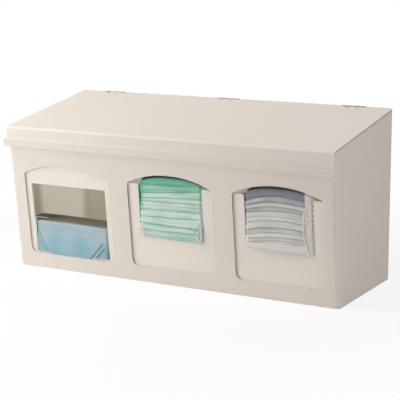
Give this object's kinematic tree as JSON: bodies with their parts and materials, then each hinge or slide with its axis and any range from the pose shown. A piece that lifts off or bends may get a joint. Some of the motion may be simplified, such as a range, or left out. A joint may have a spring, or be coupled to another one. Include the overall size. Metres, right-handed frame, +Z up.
{
  "type": "wall dispenser for disposable gloves and masks",
  "caption": "Wide wall-hung sheet-plastic dispenser with side-by-side bins, arched front openings, slide-in inserts and one hinged lid that lifts for filling.",
  "frame": {"origin": "centre of the underside of the cabinet, which is also where it stands when it isn't on a wall", "axes": "+Z up, +Y towards the wall, +X to the right of a person who faces the front"},
  "size_m": [0.737, 0.2872, 0.3446],
  "materials": {
    "cabinet_plastic": "satin beige sheet plastic",
    "insert_plastic": "satin cream sheet plastic",
    "hinge_steel": "dull steel",
    "rivet_steel": "dull dark steel",
    "blue_fabric": "matte non-woven",
    "green_fabric": "matte non-woven",
    "white_fabric": "matte non-woven"
  },
  "bodies": {
    "cabinet": {"blue_stack": "blue_fabric", "bottom_panel": "cabinet_plastic", "channel_left_a": "cabinet_plastic", "channel_left_b": "cabinet_plastic", "channel_middle_a": "cabinet_plastic", "channel_middle_b": "cabinet_plastic", "channel_right_a": "cabinet_plastic", "channel_right_b": "cabinet_plastic", "divider_left": "cabinet_plastic", "divider_right": "cabinet_plastic", "green_stack": "green_fabric", "hinge_leaf_wall_1": "hinge_steel", "hinge_leaf_wall_2": "hinge_steel", "hinge_leaf_wall_3": "hinge_steel", "hinge_pin_1": "rivet_steel", "hinge_pin_2": "rivet_steel", "hinge_pin_3": "rivet_steel", "insert_left": "insert_plastic", "insert_middle": "insert_plastic", "insert_right": "insert_plastic", "shell": "cabinet_plastic", "wall_rivets": "rivet_steel", "white_stack": "white_fabric"},
    "lid": {"hinge_leaf_lid_1": "hinge_steel", "hinge_leaf_lid_2": "hinge_steel", "hinge_leaf_lid_3": "hinge_steel", "lid": "cabinet_plastic", "lid_rivets": "rivet_steel"}
  },
  "joints": [
    {"name": "lid_hinge", "type": "hinge", "parent": "cabinet", "child": "lid", "pos_m": [0, 0.1236, 0.34214], "axis": [-1, 0, 0], "range_deg": [0, 98]}
  ]
}
